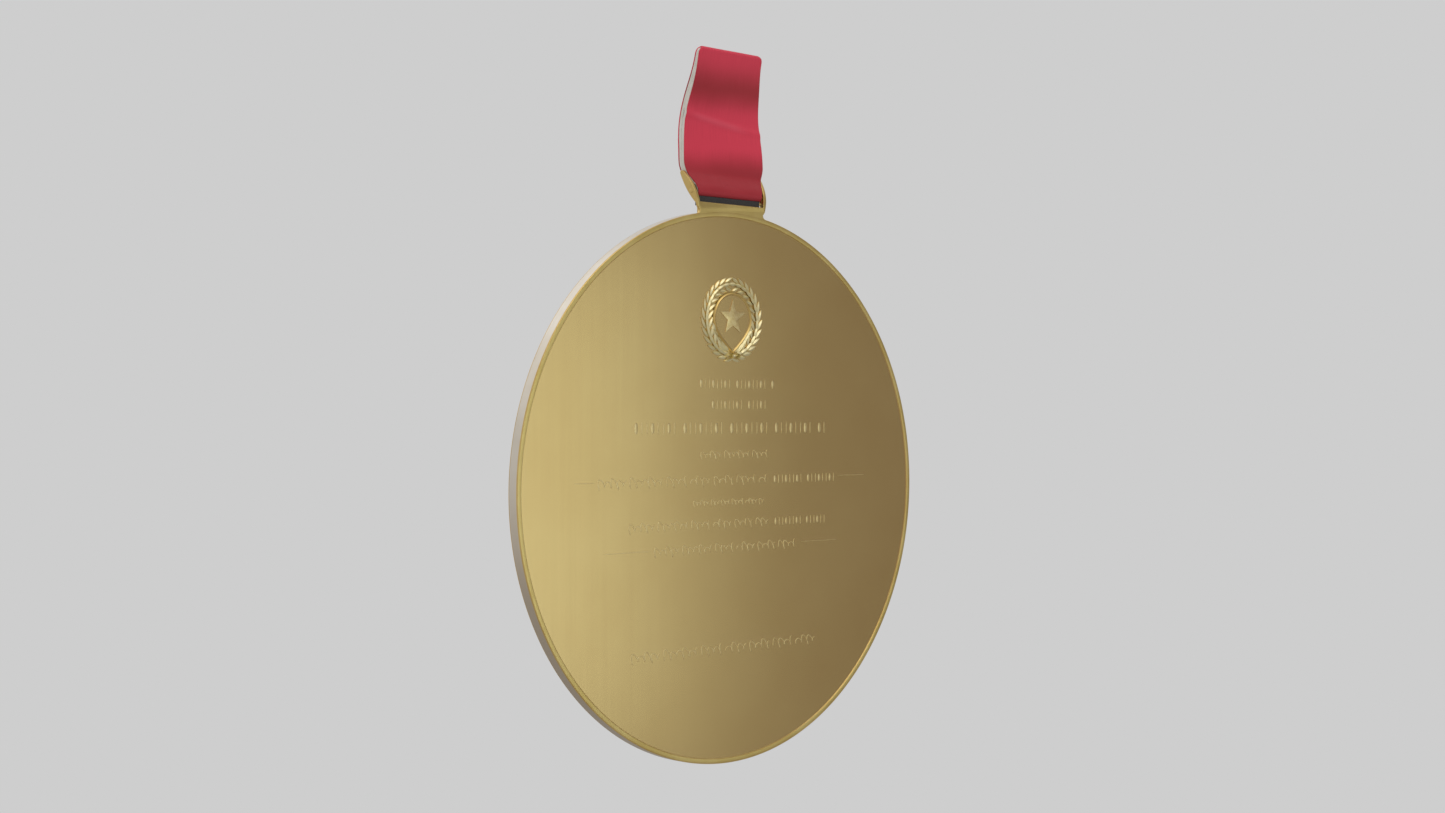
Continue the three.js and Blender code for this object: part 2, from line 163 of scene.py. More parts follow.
def turned(profile, segments, centre=(0.0, 0.0)):
    """A closed solid turned about an axis along Y, from (radius, y) pairs that start and end on it."""
    cx, cz = centre
    verts = []
    for radius, y in profile[1:-1]:
        for i in range(segments):
            angle = TAU * i / segments
            verts.append((cx + radius * math.cos(angle), y, cz + radius * math.sin(angle)))
    faces = rings_to_faces(segments, len(profile) - 2)
    first, last = len(verts), len(verts) + 1
    verts += [(cx, profile[0][1], cz), (cx, profile[-1][1], cz)]
    end = (len(profile) - 3) * segments
    for i in range(segments):
        j = (i + 1) % segments
        faces.append((first, j, i))
        faces.append((last, end + i, end + j))
    return verts, faces


def arc(cx, cy, radius, start, stop, steps):
    """Points on an arc, angles in degrees."""
    points = []
    for i in range(steps + 1):
        angle = math.radians(start + (stop - start) * i / steps)
        points.append((cx + radius * math.cos(angle), cy + radius * math.sin(angle)))
    return points


def inset_outline(points, distance):
    """The closed outline moved inwards; the points run anticlockwise."""
    moved = []
    n = len(points)
    for i, (x, y) in enumerate(points):
        (ax, ay), (bx, by) = points[i - 1], points[(i + 1) % n]
        first = Vector((x - ax, y - ay)).normalized()
        second = Vector((bx - x, by - y)).normalized()
        normal = Vector((-first.y - second.y, first.x + second.x))
        if normal.length < 1e-9:
            normal = Vector((-first.y, first.x))
        normal.normalize()
        lift = max(0.5, normal.dot(Vector((-first.y, first.x))))
        moved.append((x + normal.x * distance / lift, y + normal.y * distance / lift))
    return moved


def rounded_slab(outline, near, far, rounding, steps=3):
    """A slab between two depths with rounded rims; points come out as (u, v, depth)."""
    levels = [(rounding * 1.3, near)]
    for k in range(steps + 1):
        turn = math.pi / 2 * k / steps
        levels.append((rounding * (1 - math.sin(turn)), near + rounding * (1 - math.cos(turn))))
    levels += [(shrink, near + far - depth) for shrink, depth in reversed(levels)]
    verts = []
    for shrink, depth in levels:
        verts += [(u, v, depth) for u, v in inset_outline(outline, shrink)]
    n = len(outline)
    faces = rings_to_faces(n, len(levels))
    faces += [tuple(range(n)), tuple(reversed(range(len(verts) - n, len(verts))))]
    return verts, faces


def facing_front(part):
    """(u, v, depth) to (x, y, z), with depth running along +Y."""
    verts, faces = part
    return [(u, depth, v) for u, v, depth in verts], faces


def facing_side(part):
    """(u, v, depth) to (x, y, z), with u along Y, v along Z and depth along X."""
    verts, faces = part
    return [(depth, u, v) for u, v, depth in verts], faces


def union(name, parts):
    """One solid from several closed ones, as (verts, faces), joined in millimetres."""
    objects = []
    for k, (verts, faces) in enumerate(parts):
        mesh = bpy.data.meshes.new(f"{name}_{k}")
        mesh.from_pydata([tuple(Vector(v) / MM) for v in verts], [], faces)
        face_outwards(mesh)
        obj = bpy.data.objects.new(f"{name}_{k}", mesh)
        bpy.context.scene.collection.objects.link(obj)
        objects.append(obj)
    base = objects[0]
    for other in objects[1:]:
        step = base.modifiers.new("join", "BOOLEAN")
        step.operation = "UNION"
        step.solver = "EXACT"
        step.object = other
    shown = base.evaluated_get(bpy.context.evaluated_depsgraph_get())
    result = shown.to_mesh()
    verts = [v.co * MM for v in result.vertices]
    faces = [tuple(p.vertices) for p in result.polygons]
    shown.to_mesh_clear()
    for obj in objects:
        bpy.data.objects.remove(obj, do_unlink=True)
    return verts, faces


# ---------- Material building ----------

class Nodes:
    """A material's node tree with short calls for the nodes used here."""

    def __init__(self, name):
        self.material = bpy.data.materials.new(name)
        self.material.use_nodes = True
        self.tree = self.material.node_tree
        self.shader = self.tree.nodes["Principled BSDF"]
        self.place = self.tree.nodes.new("ShaderNodeTexCoord").outputs["Object"]

    def set(self, **values):
        for name, value in values.items():
            self.shader.inputs[name.replace("_", " ")].default_value = value

    def link(self, output, socket):
        self.tree.links.new(output, socket)

    def to(self, name, output):
        self.link(output, self.shader.inputs[name])

    def mapped(self, scale, source=None):
        node = self.tree.nodes.new("ShaderNodeMapping")
        node.inputs["Scale"].default_value = scale
        self.link(source or self.place, node.inputs["Vector"])
        return node.outputs["Vector"]

    def noise(self, scale, detail=4.0, rough=0.55, stretch=(1, 1, 1), source=None):
        node = self.tree.nodes.new("ShaderNodeTexNoise")
        node.inputs["Scale"].default_value = scale
        node.inputs["Detail"].default_value = detail
        node.inputs["Roughness"].default_value = rough
        self.link(self.mapped(stretch, source), node.inputs["Vector"])
        return node.outputs["Fac"]

    def wave(self, scale, direction, distortion, source=None):
        node = self.tree.nodes.new("ShaderNodeTexWave")
        node.bands_direction = direction
        node.inputs["Scale"].default_value = scale
        node.inputs["Distortion"].default_value = distortion
        node.inputs["Detail"].default_value = 1.0
        self.link(source or self.place, node.inputs["Vector"])
        return node.outputs["Fac"]

    def span(self, value, low, high, to_low, to_high, smooth=False):
        node = self.tree.nodes.new("ShaderNodeMapRange")
        node.interpolation_type = "SMOOTHSTEP" if smooth else "LINEAR"
        ends = {"From Min": low, "From Max": high, "To Min": to_low, "To Max": to_high}
        for name, number in ends.items():
            node.inputs[name].default_value = number
        self.link(value, node.inputs["Value"])
        return node.outputs["Result"]

    def math(self, operation, first, second):
        node = self.tree.nodes.new("ShaderNodeMath")
        node.operation = operation
        for socket, value in zip(node.inputs, (first, second)):
            if isinstance(value, (int, float)):
                socket.default_value = value
            else:
                self.link(value, socket)
        return node.outputs["Value"]

    def blend(self, factor, first, second):
        node = self.tree.nodes.new("ShaderNodeMix")
        node.data_type = "RGBA"
        self.link(factor, node.inputs["Factor"])
        for socket, value in zip((node.inputs[6], node.inputs[7]), (first, second)):
            if isinstance(value, tuple):
                socket.default_value = (*value, 1)
            else:
                self.link(value, socket)
        return node.outputs[2]

    def bump(self, height, strength, distance, onto=None):
        node = self.tree.nodes.new("ShaderNodeBump")
        node.inputs["Strength"].default_value = strength
        node.inputs["Distance"].default_value = distance
        self.link(height, node.inputs["Height"])
        if onto:
            self.link(onto, node.inputs["Normal"])
        return node.outputs["Normal"]

    def pointiness(self):
        return self.tree.nodes.new("ShaderNodeNewGeometry").outputs["Pointiness"]

    def along(self, direction):
        """A tangent that turns with the object."""
        node = self.tree.nodes.new("ShaderNodeVectorTransform")
        node.vector_type = "VECTOR"
        node.convert_from, node.convert_to = "OBJECT", "WORLD"
        node.inputs["Vector"].default_value = direction
        return node.outputs["Vector"]


def brushed_gold():
    """Gold-tone plate: fine upright brushing under thin lacquer."""
    n = Nodes("gold_brushed")
    streaks = n.noise(1400, 5, 0.65, (1, 1, 0.015))
    clouds = n.noise(38, 4, 0.55)
    tone = n.blend(n.span(clouds, 0.3, 0.7, 0, 1), (0.585, 0.378, 0.148), (0.640, 0.428, 0.176))
    n.to("Base Color", n.blend(n.span(streaks, 0.35, 0.65, 0, 0.1), tone, (0.52, 0.33, 0.125)))
    n.to("Roughness", n.span(streaks, 0.3, 0.7, 0.225, 0.24))
    n.to("Normal", n.bump(streaks, 0.01, 0.01 * MM))
    n.to("Tangent", n.along((0, 0, 1)))
    n.set(Metallic=1.0, Anisotropic=0.2, Coat_Weight=0.12, Coat_Roughness=0.2)
    return n.material


def polished_gold():
    """Brighter gold-tone rim, bracket and bar, with soft handling marks."""
    n = Nodes("gold_polished")
    smears = n.noise(160, 4, 0.6)
    scuffs = n.noise(1500, 5, 0.7, (1, 1, 0.25))
    n.to("Base Color", n.blend(n.span(smears, 0.35, 0.65, 0, 1), (0.62, 0.42, 0.135), (0.70, 0.50, 0.19)))
    smooth = n.span(smears, 0.3, 0.7, 0.30, 0.37)
    n.to("Roughness", n.math("ADD", smooth, n.span(scuffs, 0.5, 0.75, 0, 0.08)))
    n.to("Normal", n.bump(scuffs, 0.08, 0.01 * MM))
    n.set(Metallic=1.0, Coat_Weight=0.05, Coat_Roughness=0.3)
    return n.material


def relief_gold():
    """Struck relief: darker in its hollows and paler on its ridges, set by the mesh's pointiness."""
    n = Nodes("gold_relief")
    ridge = n.span(n.pointiness(), 0.47, 0.56, 0, 1)
    grain = n.noise(2200, 3, 0.6)
    n.to("Base Color", n.blend(ridge, (0.54, 0.40, 0.15), (0.80, 0.70, 0.40)))
    n.to("Roughness", n.span(ridge, 0, 1, 0.48, 0.40))
    n.to("Normal", n.bump(grain, 0.12, 0.012 * MM))
    n.set(Metallic=1.0)
    return n.material


def engraved_gold():
    """The ornament rows: the plate's own gold, frosted a little paler."""
    n = Nodes("gold_engraved")
    grain = n.noise(3000, 3, 0.6)
    n.to("Base Color", n.blend(n.span(grain, 0.35, 0.65, 0, 1), (0.68, 0.47, 0.20), (0.82, 0.62, 0.31)))
    n.to("Roughness", n.span(grain, 0.3, 0.7, 0.30, 0.38))
    n.set(Metallic=1.0)
    return n.material


# Heights between which the edge goes from full painted shade to none.
PAINTED_SHADE_FULL, PAINTED_SHADE_NONE = from_disc(-15), from_disc(6)


def nickel():
    """The core's turned edge: fine lines round the rim, and painted shade on its lower half, browner and
    darker towards the bottom.
    """
    n = Nodes("nickel")
    lines = n.noise(2600, 4, 0.6, (0.02, 1, 0.02))
    dull = n.noise(90, 4, 0.6)
    height = n.tree.nodes.new("ShaderNodeSeparateXYZ")
    n.link(n.place, height.inputs[0])
    drift = n.span(dull, 0.3, 0.7, -4 * MM, 4 * MM)
    lifted = n.math("ADD", height.outputs["Z"], drift)
    # Painted shade: the edge's colour darkens and browns below the disc's centre, standing in for the
    # dimmer light it reflects there.
    painted_shade = n.span(lifted, PAINTED_SHADE_FULL, PAINTED_SHADE_NONE, 1, 0, True)
    own_colour = n.blend(n.span(dull, 0.35, 0.7, 0, 1), (0.76, 0.70, 0.61), (0.68, 0.61, 0.51))
    n.to("Base Color", n.blend(painted_shade, own_colour, (0.54, 0.455, 0.35)))
    smooth = n.span(dull, 0.3, 0.7, 0.38, 0.46)
    n.to("Roughness", n.math("ADD", smooth, n.span(lines, 0.4, 0.7, 0, 0.06)))
    n.to("Normal", n.bump(lines, 0.15, 0.01 * MM))
    n.set(Metallic=1.0)
    return n.material


def strip_coordinates(n):
    """(across, along) in metres on a ribbon, from its own flat layout."""
    node = n.tree.nodes.new("ShaderNodeUVMap")
    node.uv_map = "strip"
    return node.outputs["UV"]


def strip_tangent(n):
    node = n.tree.nodes.new("ShaderNodeTangent")
    node.direction_type = "UV_MAP"
    node.uv_map = "strip"
    return node.outputs["Tangent"]


WAVE_RATE = 20  # radians per unit of length in a wave texture of scale 1
RIB_RADIAN = 0.30 * MM  # a whole rib is TAU times this, 1.9 mm
WEAVE_RADIAN = 0.32 * MM  # and a whole square of the lining's weave 2.0 mm

# Heights above the disc's centre, in millimetres, over which the satin's painted sheen changes: paler red
# stands in for the light on the bow and the crown.
BOW_FOOT = (45.7, 49.9)
BOW_HEAD = (54.2, 58.4)
CROWN = (58.2, 62.8)
FRONT_PLY = 20 * MM  # about the front ply's length along the strip


def tone_change(n, height, span, start, stop):
    return n.span(height, from_disc(span[0]), from_disc(span[1]), start, stop, True)


def red_satin():
    """Satin: broad soft ribs across the strip, fine warp along it, and painted sheen: paler red on the bow,
    at the crown and along the crease on the front.
    """
    n = Nodes("red_satin")
    flat = strip_coordinates(n)
    ribs = n.wave(1 / (WAVE_RATE * RIB_RADIAN), "Y", 0.25, flat)
    warp = n.noise(9000, 2, 0.5, (1, 0.03, 1), flat)
    drift = n.span(n.noise(70, 3, 0.5), 0.3, 0.7, -0.6 * MM, 0.6 * MM)
    height = n.tree.nodes.new("ShaderNodeSeparateXYZ")
    n.link(n.place, height.inputs[0])
    lifted = n.math("ADD", height.outputs["Z"], drift)
    # Painted sheen: paler red on the bow between its foot and head and over the crown, standing in for the
    # satin's highlights.
    bow_foot = tone_change(n, lifted, BOW_FOOT, 0, 1)
    bow_head = tone_change(n, lifted, BOW_HEAD, 1, 0)
    crown = tone_change(n, lifted, CROWN, 0, 1)
    painted_sheen = n.math("MAXIMUM", n.math("MULTIPLY", bow_foot, bow_head), crown)
    body = n.blend(painted_sheen, (0.400, 0.036, 0.044), (0.745, 0.060, 0.098))
    # Painted highlight: a pale pink band along the crease on the front ply, fading towards the edges.
    slant = n.math("ADD", height.outputs["Z"], n.math("MULTIPLY", height.outputs["X"], CREASE_FALL))
    off_crease = n.math("ABSOLUTE", n.math("SUBTRACT", slant, CREASE_Z), 0)
    painted_crease_highlight = n.span(off_crease, 0, 0.8 * MM, 0.3, 0, True)
    layout = n.tree.nodes.new("ShaderNodeSeparateXYZ")
    n.link(flat, layout.inputs[0])
    painted_crease_highlight = n.math("MULTIPLY", painted_crease_highlight, n.span(layout.outputs["Y"], FRONT_PLY, FRONT_PLY + MM, 1, 0))
    off_middle = n.math("ABSOLUTE", n.math("ADD", height.outputs["X"], 1 * MM), 0)
    fade = n.span(off_middle, 3 * MM, 6.5 * MM, 1, 0, True)
    tone = n.blend(n.math("MULTIPLY", painted_crease_highlight, fade), body, (0.80, 0.14, 0.19))
    n.to("Base Color", n.blend(n.span(warp, 0.4, 0.7, 0, 0.1), tone, (0.30, 0.015, 0.025)))
    n.to("Roughness", n.span(warp, 0.3, 0.7, 0.40, 0.52))
    first = n.bump(ribs, 0.3, 0.02 * MM)
    n.to("Normal", n.bump(warp, 0.15, 0.015 * MM, first))
    n.to("Tangent", strip_tangent(n))
    n.set(Anisotropic=0.5, Specular_IOR_Level=0.3)
    n.shader.inputs["Specular Tint"].default_value = (1.0, 0.35, 0.45, 1)
    return n.material


def cream_lining():
    """Plain-woven cotton lining, off white."""
    n = Nodes("cream_lining")
    flat = strip_coordinates(n)
    weft = n.wave(1 / (WAVE_RATE * WEAVE_RADIAN), "Y", 0.6, flat)
    warp = n.wave(1 / (WAVE_RATE * WEAVE_RADIAN), "X", 0.6, flat)
    weave = n.math("MULTIPLY", weft, warp)
    soil = n.noise(400, 4, 0.6)
    n.to("Base Color", n.blend(n.span(soil, 0.35, 0.7, 0, 1), (0.80, 0.77, 0.70), (0.68, 0.64, 0.56)))
    n.to("Normal", n.bump(weave, 0.5, 0.05 * MM))
    n.set(Roughness=0.88, Sheen_Weight=0.2)
    return n.material


def black_felt():
    """Dense black felt, near black as painted shadow for the slot's mouth under the ribbon's fold."""
    n = Nodes("black_felt")
    fuzz = n.noise(5200, 5, 0.75)
    # Painted shadow: the pad is near black to stand in for the shade in the slot under the ribbon's fold.
    n.to("Base Color", n.blend(n.span(fuzz, 0.3, 0.75, 0, 1), (0.010, 0.009, 0.009), (0.040, 0.035, 0.034)))
    n.to("Normal", n.bump(fuzz, 0.8, 0.06 * MM))
    n.set(Roughness=0.95, Sheen_Weight=0.15, Sheen_Roughness=0.6)
    return n.material


def red_thread():
    """Twisted sewing thread."""
    n = Nodes("red_thread")
    twist = n.wave(420, "DIAGONAL", 0.4)
    n.to("Base Color", n.blend(twist, (0.22, 0.015, 0.028), (0.42, 0.04, 0.06)))
    n.to("Normal", n.bump(twist, 0.6, 0.03 * MM))
    n.set(Roughness=0.6, Sheen_Weight=0.3)
    return n.material


GOLD = brushed_gold()
RIM = polished_gold()
RELIEF = relief_gold()
ENGRAVED = engraved_gold()
NICKEL = nickel()
SATIN = red_satin()
COTTON = cream_lining()
SHADOW_FELT = black_felt()
THREAD = red_thread()


# ---------- Disc ----------

RIM_WIDTH = 0.8 * MM
EDGE_HALF = 0.76 * MM  # half the width of the bare core that shows round the edge
FIELD_RINGS = 14
FIELD_SEGMENTS = 256
EDGE_SEGMENTS = 360


def plate_profiles():
    """The field and the rim of the plate that faces -Y, as two (radius, y) lists."""
    inner = DISC_R - RIM_WIDTH
    crown = 0.10 * MM
    shoulder = 0.14 * MM
    seat = -CORE_HALF - 0.02 * MM
    undercut = DISC_R - 0.3 * MM
    field = [(0.0, -FIELD_Y)]
    field += [(inner * (k + 1) / FIELD_RINGS, -FIELD_Y) for k in range(FIELD_RINGS)]
    field += [(inner, -CORE_HALF), (0.0, -CORE_HALF)]
    rim = [(inner - 0.01 * MM, seat), (inner - 0.01 * MM, -FIELD_Y + 0.02 * MM)]
    rim += arc(inner + 0.05 * MM + crown, -RIM_Y + crown, crown, 180, 270, 5)
    rim += arc(DISC_R - shoulder, -RIM_Y + shoulder, shoulder, 270, 360, 6)
    rim += [(DISC_R, -EDGE_HALF), (undercut, -EDGE_HALF), (undercut, seat)]
    return field, rim


def plate(side, name, node):
    """The brushed field and the bright rim round it; side is -1 for the front, 1 for the back."""
    field, rim = plate_profiles()
    flip = [(r, -y * side) for r, y in field]
    disc = turned(flip, FIELD_SEGMENTS, (0.0, DISC_Z))
    piece(f"{name}_field", *disc, GOLD, "medal", "gold_brushed", (node,))
    verts = []
    for radius, y in rim:
        for i in range(EDGE_SEGMENTS):
            angle = TAU * i / EDGE_SEGMENTS
            verts.append((radius * math.cos(angle), -y * side, DISC_Z + radius * math.sin(angle)))
    faces = rings_to_faces(EDGE_SEGMENTS, len(rim), closed=True)
    piece(f"{name}_rim", verts, faces, RIM, "medal", "gold_polished")


def core():
    """The core's turned edge, swaged a little over both plates, with fine lines round it."""
    bevel = 0.03 * MM
    lip = CORE_R - 0.25 * MM
    profile = [(0.0, -CORE_HALF), (lip, -CORE_HALF), (lip, -EDGE_HALF), (DISC_R - bevel, -EDGE_HALF)]
    profile += [(DISC_R, -EDGE_HALF + bevel), (DISC_R, -0.3 * EDGE_HALF)]
    profile += [(r, -y) for r, y in reversed(profile)]
    disc = turned(profile, EDGE_SEGMENTS, (0.0, DISC_Z))
    piece("core_edge", *disc, NICKEL, "medal", "nickel", ("core_disc",))


# ---------- Bracket, bar, liner and rivets ----------

NECK_HALF = 6.9 * MM
NECK_BACK = -0.5 * MM
NECK_FOOT_HALF = 6.5 * MM
FILLET = 0.6 * MM
EAR_THICK = 0.5625 * MM
EAR_FLARE = 0.22
EAR_FOOT = LIP_Z - 0.625 * MM
EAR_TIP_Y = 1.35 * MM
EAR_TIP_Z = BAR_Z + 2.5 * MM
EAR_TIP_R = 0.4 * MM


def neck_outline():
    """The neck from the front, rising out of the rim, anticlockwise from its left foot."""
    fillet_x = NECK_FOOT_HALF + FILLET
    fillet_z = math.sqrt((DISC_R + FILLET) ** 2 - fillet_x ** 2)
    right = arc(fillet_x, fillet_z, FILLET, -105, -180, 9)
    lip = LIP_Z - DISC_Z
    foot = EAR_FOOT - DISC_Z
    right += [(NECK_HALF - 0.03 * MM, foot - 0.1 * MM), (NECK_HALF, foot), (NECK_HALF, lip)]
    left = [(-x, z) for x, z in reversed(right)]
    seat_r = DISC_R - 0.6 * MM
    start = math.degrees(math.atan2(left[-1][1], left[-1][0]))
    seat = arc(0, 0, seat_r, start, 180 - start, 18)[1:-1]
    return [(x, z + DISC_Z) for x, z in seat + right + left]


def bent(start, bend, stop, steps):
    """Points on the curve from start to stop that bend pulls towards itself."""
    points = []
    for k in range(steps + 1):
        t = k / steps
        a, b, c = (1 - t) ** 2, 2 * t * (1 - t), t * t
        points.append(tuple(a * p + b * q + c * r for p, q, r in zip(start, bend, stop)))
    return points


def ear_outline():
    """An ear in side view as (y, z), anticlockwise: it leans back round the bar to a round tip."""
    tip = arc(EAR_TIP_Y, EAR_TIP_Z, EAR_TIP_R, 0, 153, 8)
    back = bent((NECK_BACK, EAR_FOOT + 0.4 * MM), (1.15 * MM, BAR_Z - 0.1 * MM), tip[0], 12)
    front = bent(tip[-1], (-0.85 * MM, BAR_Z + 0.6 * MM), (-RIM_Y, LIP_Z + 0.175 * MM), 12)
    return [(-RIM_Y, EAR_FOOT), (NECK_BACK, EAR_FOOT)] + back + tip[1:] + front[1:]


def ear(side):
    """One ear, flared outwards from its foot."""
    near = NECK_HALF - EAR_THICK
    verts, faces = facing_side(rounded_slab(ear_outline(), near, NECK_HALF, 0.1 * MM))
    return [(side * (x + EAR_FLARE * (z - EAR_FOOT)), y, z) for x, y, z in verts], faces


def bracket():
    neck = facing_front(rounded_slab(neck_outline(), -RIM_Y + 0.012 * MM, NECK_BACK, 0.1 * MM, 4))
    half = NECK_HALF - EAR_THICK - 0.1 * MM
    tang = [(-half, DISC_Z + DISC_R - 7 * MM), (half, DISC_Z + DISC_R - 7 * MM)]
    tang += [(half, LIP_Z - 0.45 * MM), (-half, LIP_Z - 0.45 * MM)]
    hidden = facing_front(rounded_slab(tang, NECK_BACK - 0.2 * MM + 0.16 * MM, 0.0, 0.03 * MM, 1))
    part = merged([union("bracket", [neck, ear(-1), ear(1)]), hidden])
    piece("bracket_body", *part, RIM, "medal", "gold_polished", ("suspension_bracket",), sharp=28)


def bar():
    """The cross bar, its ends peened into low flat domes outside the ears."""
    shank = 0.3125 * MM
    end = NECK_HALF + EAR_FLARE * (BAR_Z - EAR_FOOT) + 0.07 * MM
    head = 0.42 * MM
    rise = [(0.0, end), (0.5 * head, end - 0.01 * MM), (0.85 * head, end - 0.05 * MM)]
    rise += [(head, end - 0.12 * MM), (head, end - 0.3 * MM), (shank, end - 0.3 * MM)]
    profile = [(r, -x) for r, x in rise] + [(r, x) for r, x in reversed(rise)]
    turn = Matrix.Translation((0, 0, BAR_Z)) @ Matrix.Rotation(-math.pi / 2, 4, "Z")
    piece("cross_bar", *placed(turned(profile, 48), turn), RIM, "medal", "gold_polished", ("ribbon_bar",))


FOLD_SWELL = 0.12 * MM  # the nipped cloth bunches up a little under the bar


def liner():
    """The black felt pad in the slot, near black as painted shadow for the slot's mouth: a block with a
    hollowed, slightly fuzzy top.

    The hollow is a little deeper at the back, where the ribbon leans on it when the medal swings back.
    """
    across, deep, high = 90, 12, 10
    hollow = FOLD_R + FOLD_SWELL + 0.05 * MM
    front, back = LINER_LOW.y, LINER_HIGH.y
    ring = []
    for k in range(deep + 1):
        y = front + (back - front) * k / deep
        relief = 0.14 * MM * ramp(y, 0, back)
        ring.append((y, BAR_Z - math.sqrt(hollow ** 2 - y ** 2) - relief))
    floor = LINER_LOW.z
    section = [(front, floor + (ring[0][1] - floor) * k / high) for k in range(high)]
    section += ring
    section += [(back, floor + (ring[-1][1] - floor) * (high - 1 - k) / high) for k in range(high)]
    verts = []
    for i in range(across + 1):
        x = LINER_LOW.x + (LINER_HIGH.x - LINER_LOW.x) * i / across
        for y, z in section:
            fuzz = noise.noise(Vector((x, y, z)) / (0.22 * MM)) * 0.04 * MM
            verts.append((x, y + (fuzz * 0.6 if y > front else -fuzz), z + fuzz))
    n = len(section)
    faces = rings_to_faces(n, across + 1)
    faces += [tuple(range(n)), tuple(reversed(range(across * n, (across + 1) * n)))]
    piece("felt_pad", verts, faces, SHADOW_FELT, "medal", "black_felt", ("slot_liner",))


def rivets():
    """Two flush rivets in the reverse, each with a shallow dish struck in its head."""
    x_right = (RIVET_LOW.x + RIVET_HIGH.x) / 2
    z = (RIVET_LOW.z + RIVET_HIGH.z) / 2
    radius = (RIVET_HIGH.x - RIVET_LOW.x) / 2
    top, seat = RIVET_HIGH.y, FIELD_Y - 0.03 * MM
    profile = [(0.0, seat), (radius, seat), (radius, top - 0.03 * MM), (radius - 0.05 * MM, top)]
    profile += [(radius * 0.62, top), (radius * 0.5, top - 0.035 * MM), (0.0, top - 0.045 * MM)]
    for name, x in (("left", -x_right), ("right", x_right)):
        part = turned(profile, 64, (x, z))
        piece(f"rivet_head_{name}", *part, RIM, "medal", "gold_polished", (f"bracket_rivet_{name}",))


# ---------- Badge ----------

def leaf(length, width, height):
    """A laurel leaf along +U on the UV plane: two flat slopes down from a sharp midrib."""
    along = 7
    verts = []
    for i in range(along + 1):
        t = i / along
        half = width / 2 * max(0.06, math.sin(math.pi * t ** 0.85)) ** 0.8
        crest = height * (0.45 + 0.55 * math.sin(math.pi * (0.1 + 0.75 * t)))
        edge = crest * 0.35
        verts += [(length * t, -half, -0.06 * MM), (length * t, -half, edge), (length * t, 0, crest)]
        verts += [(length * t, half, edge), (length * t, half, -0.06 * MM)]
    faces = rings_to_faces(5, along + 1)
    faces += [(4, 3, 2, 1, 0), tuple(5 * along + i for i in range(5))]
    return verts, faces


def on_field(part, x, z, turn, lift=0.0):
    """Lays a (u, v, depth) part on the front field at x, z, turned anticlockwise by turn."""
    verts, faces = part
    c, s = math.cos(turn), math.sin(turn)
    laid = [(x + u * c - v * s, -FIELD_Y - lift - d, z + u * s + v * c) for u, v, d in verts]
    return laid, faces


def bead(radius, height, steps):
    """A round boss on the UV plane."""
    rings = 4
    verts = [(0, 0, height)]
    for k in range(1, rings + 1):
        turn = math.pi / 2 * k / rings
        r, d = radius * math.sin(turn), height * math.cos(turn)
        verts += [(r * math.cos(TAU * i / steps), r * math.sin(TAU * i / steps), d) for i in range(steps)]
    faces = [(0, 1 + i, 1 + (i + 1) % steps) for i in range(steps)]
    for k in range(rings - 1):
        for i in range(steps):
            a, b = 1 + k * steps + i, 1 + k * steps + (i + 1) % steps
            faces.append((a, a + steps, b + steps, b))
    faces.append(tuple(1 + (rings - 1) * steps + i for i in reversed(range(steps))))
    return verts, faces


def ridge(points, width, height):
    """A low rounded ridge along points on the UV plane, closed a little below it."""
    foot = 0.04 * MM
    verts = []
    n = len(points)
    for k, (u, v) in enumerate(points):
        ahead, behind = points[min(n - 1, k + 1)], points[max(0, k - 1)]
        run = Vector((ahead[0] - behind[0], ahead[1] - behind[1])).normalized()
        side = Vector((-run.y, run.x)) * width / 2
        end = 0.55 if k in (0, n - 1) else 1.0
        shoulder = 0.55 * height
        section = ((-1, -foot), (-0.8, shoulder), (0, height), (0.8, shoulder), (1, -foot))
        for across, up in section:
            up = up * end if up > 0 else up
            verts.append((u + side.x * across * end, v + side.y * across * end, up))
    faces = rings_to_faces(5, n)
    faces += [(4, 3, 2, 1, 0), tuple(5 * (n - 1) + i for i in range(5))]
    return verts, faces


LEAF_LENGTH = 2.0 * MM
LEAF_WIDTH = 0.60 * MM
LEAF_HEIGHT = 0.26 * MM
STEM_R = 5.25 * MM
LEAF_ROWS = (  # radius in mm, splay outwards in radians, lift in mm, stations
    (4.88, -0.50, 0.00, 12),
    (5.50, 0.46, 0.00, 14),
    (5.22, 0.02, 0.12, 13),
)


def branch(side):
    """One laurel branch: a stem and three rows of leaves that overlap up towards the tip."""
    foot, head = math.radians(-84), math.radians(98)
    parts = []
    stem = arc(0, 0, STEM_R, -97, 78, 34)
    parts.append(on_field(ridge(stem, 0.30 * MM, 0.30 * MM), 0, BADGE_Z, 0))
    for radius, splay, lift, stations in LEAF_ROWS:
        for k in range(stations):
            t = (k + (0.5 if lift else 0.0)) / stations
            angle = foot + (head - foot) * t - 0.16
            size = 1.0 - 0.2 * t
            one = leaf(LEAF_LENGTH * size, LEAF_WIDTH * size, LEAF_HEIGHT)
            x, z = radius * MM * math.cos(angle), radius * MM * math.sin(angle)
            parts.append(on_field(one, x, BADGE_Z + z, angle + math.pi / 2 - splay + 0.2, lift * MM))
    for row in range(2):
        for k in range(5 - row):
            x, z = (0.62 + 0.62 * k + 0.62 * row) * MM, (-4.75 + 0.74 * k) * MM
            one = leaf((1.9 - 0.1 * k) * MM, 0.62 * MM, 0.25 * MM)
            parts.append(on_field(one, x, BADGE_Z + z, math.radians(54 - 8 * row), 0.02 * MM))
    verts, faces = merged(parts)
    verts = [(side * x, y, z) for x, y, z in verts]
    name = "left" if side < 0 else "right"
    node = f"laurel_branch_{name}"
    piece(f"laurel_leaves_{name}", verts, faces, RELIEF, "medal", "gold_relief", (node,), sharp=20)


